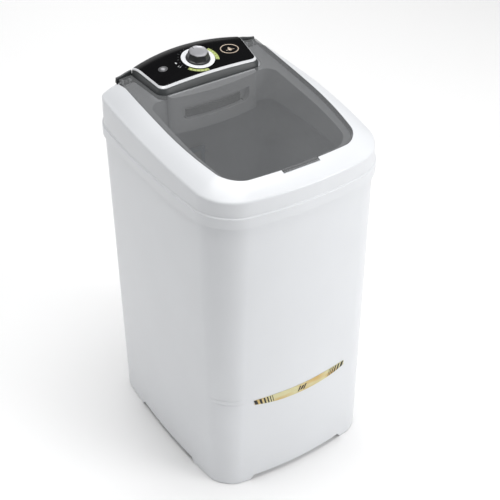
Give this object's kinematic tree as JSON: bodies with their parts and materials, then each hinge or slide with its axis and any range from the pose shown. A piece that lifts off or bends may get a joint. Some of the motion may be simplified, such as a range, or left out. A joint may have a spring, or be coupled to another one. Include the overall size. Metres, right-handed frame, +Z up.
{
  "type": "top-loading tub washing machine",
  "caption": "Tall tapered tub washing machine with a see-through lid, timer knob, soap tray and belt-driven agitator.",
  "frame": {"origin": "centre of the footprint, on the floor, midway between the cover's front and back", "axes": "+Z up, -Y towards the front where the user stands, +X to the right as seen from the front"},
  "size_m": [0.552, 0.682, 1.093],
  "materials": {
    "white": "satin moulded",
    "inner": "moulded",
    "smoke": "clear smoked",
    "dark": "fine grain",
    "panel": "gloss printed",
    "trim": "bright silver",
    "knob": "satin",
    "silver": "satin",
    "steel": "zinc plated",
    "rubber": "matte",
    "gold": "metallic foil",
    "motor": "lacquered",
    "blue": "satin moulded",
    "mesh": "woven"
  },
  "bodies": {
    "machine": {"cabinet": "white", "access_cover": "white", "access_screw_1": "steel", "access_screw_2": "steel", "access_screw_3": "steel", "access_screw_4": "steel", "bottom_panel": "inner", "foot_front_left": "rubber", "foot_front_right": "rubber", "foot_rear_left": "rubber", "foot_rear_right": "rubber", "front_badge": "gold", "drain_outlet": "inner", "cord_gland": "rubber", "tub": "inner", "drain_strainer": "steel", "drain_cup": "inner", "drain_hose": "rubber", "filter_rail_left": "inner", "filter_rail_right": "inner", "top_cover": "white", "lid_hinge_pin_left": "steel", "lid_hinge_pin_right": "steel", "lid_buffer_left": "rubber", "lid_buffer_right": "rubber", "console_housing": "dark", "console_trim": "trim", "control_panel": "panel", "dial_ring": "white", "timer_body": "dark", "dispenser_housing": "inner", "bearing_housing": "steel", "lower_bearing": "steel", "upper_bearing": "steel", "shaft_seal": "rubber", "drive_belt": "rubber", "motor_case": "motor", "motor_bracket": "steel", "capacitor": "silver", "capacitor_clamp": "steel"},
    "lid": {"lid": "smoke"},
    "timer": {"timer_knob": "knob", "knob_cap": "silver", "timer_shaft": "steel"},
    "agitator": {"agitator": "blue", "agitator_cap": "white", "agitator_shaft": "steel", "driven_pulley": "steel", "pulley_nut": "steel"},
    "rotor": {"motor_rotor": "steel", "motor_fan": "dark", "motor_pulley": "steel"},
    "filter": {"lint_filter_frame": "blue", "lint_filter_mesh": "mesh"},
    "tray": {"dispenser_tray": "dark"}
  },
  "joints": [
    {"name": "lid_hinge", "type": "hinge", "parent": "machine", "child": "lid", "pos_m": [0, 0.227, 1.03767], "axis": [-1, 0, 0], "range_deg": [0, 95]},
    {"name": "timer_turn", "type": "hinge", "parent": "machine", "child": "timer", "pos_m": [0, 0.182, 1.06612], "axis": [0, -0.158, 0.9874], "continuous": true},
    {"name": "agitator_spin", "type": "hinge", "parent": "machine", "child": "agitator", "pos_m": [0, 0, 0.3], "axis": [0, 0, 1], "continuous": true},
    {"name": "rotor_spin", "type": "hinge", "parent": "machine", "child": "rotor", "pos_m": [0, 0.172, 0.2], "axis": [0, 0, 1], "continuous": true},
    {"name": "filter_lift", "type": "slide", "parent": "machine", "child": "filter", "axis": [0, 0.067, 0.9978], "range_m": [0, 0.15]},
    {"name": "tray_slide", "type": "slide", "parent": "machine", "child": "tray", "axis": [0, -1, 0], "range_m": [0, 0.03]}
  ],
  "couplings": [
    {"joint": "rotor_spin", "follows": "agitator_spin", "ratio": 4.1}
  ]
}
